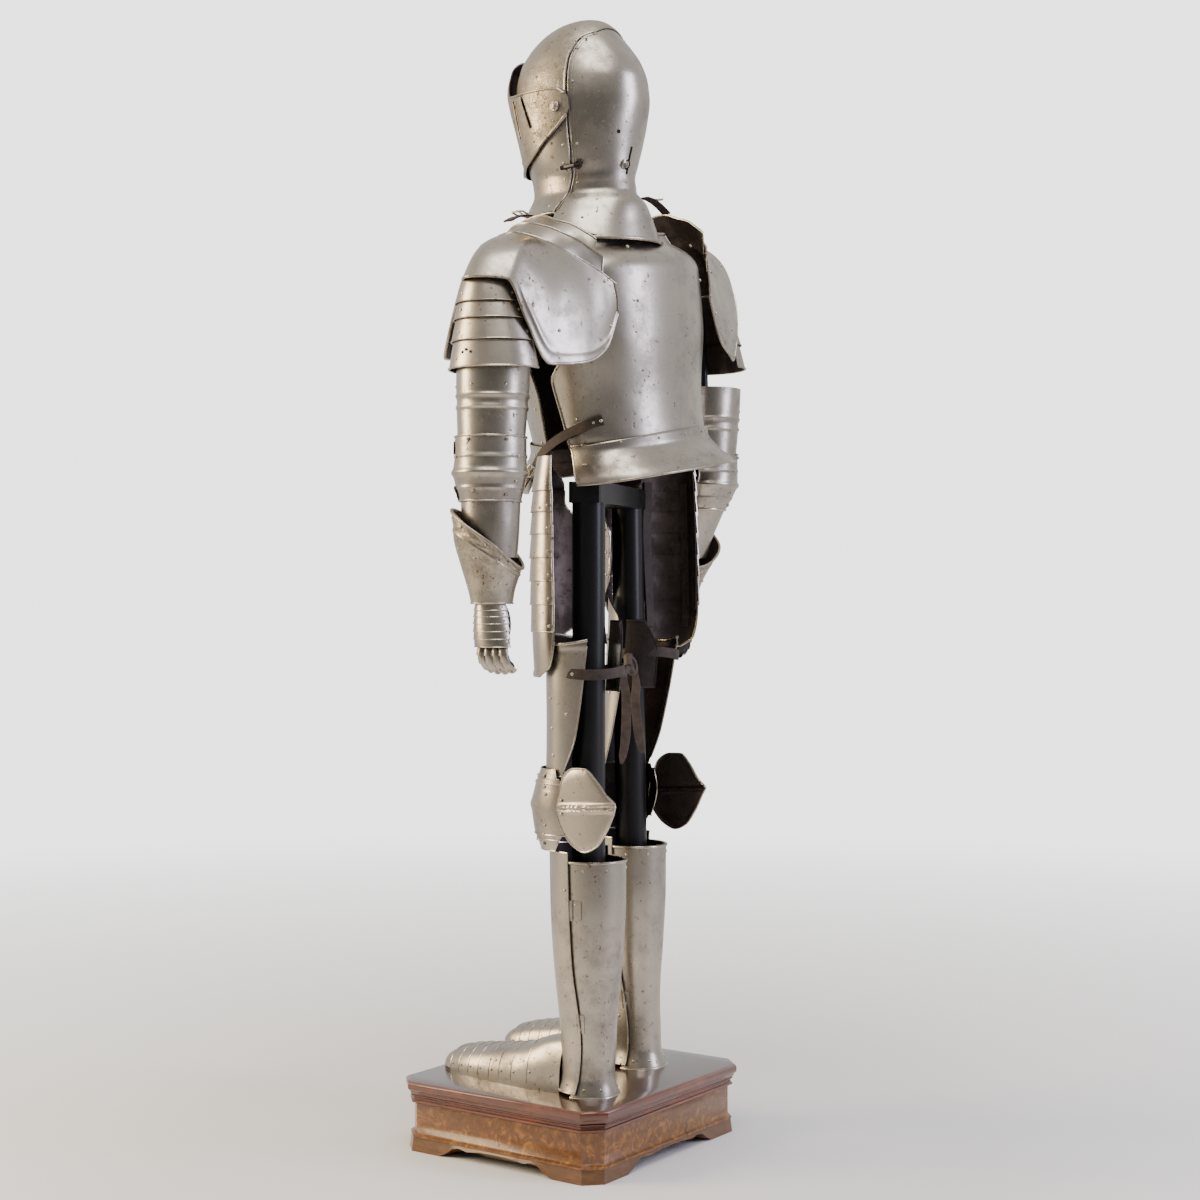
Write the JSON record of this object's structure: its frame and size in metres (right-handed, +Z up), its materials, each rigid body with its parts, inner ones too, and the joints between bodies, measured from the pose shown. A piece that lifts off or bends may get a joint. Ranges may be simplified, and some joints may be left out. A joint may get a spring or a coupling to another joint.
{
  "type": "suit of plate armour on its display stand",
  "caption": "Suit of polished plate armour with a closed helmet and hinged visor, on a black armature above a veneered wooden plinth.",
  "frame": {"origin": "centre of the whole at the floor, under the plinth's feet", "axes": "+Z up; the figure faces -Y; its own left side is +X"},
  "size_m": [0.7609, 0.4703, 1.8858],
  "materials": {
    "steel_plate": "satin, worn and lightly stained",
    "leather": "matt, old",
    "glove_leather": "matt",
    "black_paint": "semi-gloss",
    "walnut": "polished",
    "burl_veneer": "polished"
  },
  "bodies": {
    "suit": {"plinth_base": "burl_veneer", "plinth_top": "walnut", "greave_front_left": "steel_plate", "greave_front_right": "steel_plate", "greave_back_left": "steel_plate", "greave_back_right": "steel_plate", "poleyn_left": "steel_plate", "poleyn_right": "steel_plate", "knee_fan_left": "steel_plate", "knee_fan_right": "steel_plate", "cuisse_left": "steel_plate", "cuisse_right": "steel_plate", "cuisse_inner_left": "steel_plate", "cuisse_inner_right": "steel_plate", "sabaton_left": "steel_plate", "sabaton_right": "steel_plate", "backplate": "steel_plate", "breastplate": "steel_plate", "waist_flange": "steel_plate", "fauld": "steel_plate", "stand_torso": "black_paint", "waist_strap": "leather", "tasset_left": "steel_plate", "tasset_right": "steel_plate", "rerebrace_left": "steel_plate", "rerebrace_right": "steel_plate", "arm_lame_4_left": "steel_plate", "arm_lame_4_right": "steel_plate", "arm_lame_3_left": "steel_plate", "arm_lame_3_right": "steel_plate", "arm_lame_2_left": "steel_plate", "arm_lame_2_right": "steel_plate", "arm_lame_1_left": "steel_plate", "arm_lame_1_right": "steel_plate", "couter_left": "steel_plate", "couter_right": "steel_plate", "vambrace_left": "steel_plate", "vambrace_right": "steel_plate", "gauntlet_cuff_left": "steel_plate", "gauntlet_cuff_right": "steel_plate", "gauntlet_hand_left": "steel_plate", "gauntlet_hand_right": "steel_plate", "glove_left": "glove_leather", "glove_right": "glove_leather", "pauldron_left": "steel_plate", "pauldron_right": "steel_plate", "neck_lame_2_left": "steel_plate", "neck_lame_2_right": "steel_plate", "neck_lame_1_left": "steel_plate", "neck_lame_1_right": "steel_plate", "helmet_rear": "steel_plate", "helmet_front": "steel_plate", "helmet_bevor": "steel_plate", "visor_pivot_left": "steel_plate", "visor_pivot_right": "steel_plate", "stand_frame": "black_paint", "stand_arm_rod": "black_paint", "shoulder_strap_left": "leather", "shoulder_strap_right": "leather"},
    "visor": {"visor": "steel_plate"}
  },
  "joints": [
    {"name": "visor_lift", "type": "hinge", "parent": "suit", "child": "visor", "pos_m": [0.03, 0.052, 1.729], "axis": [-0.9986, 0, 0.0523], "range_deg": [0, 13]}
  ]
}
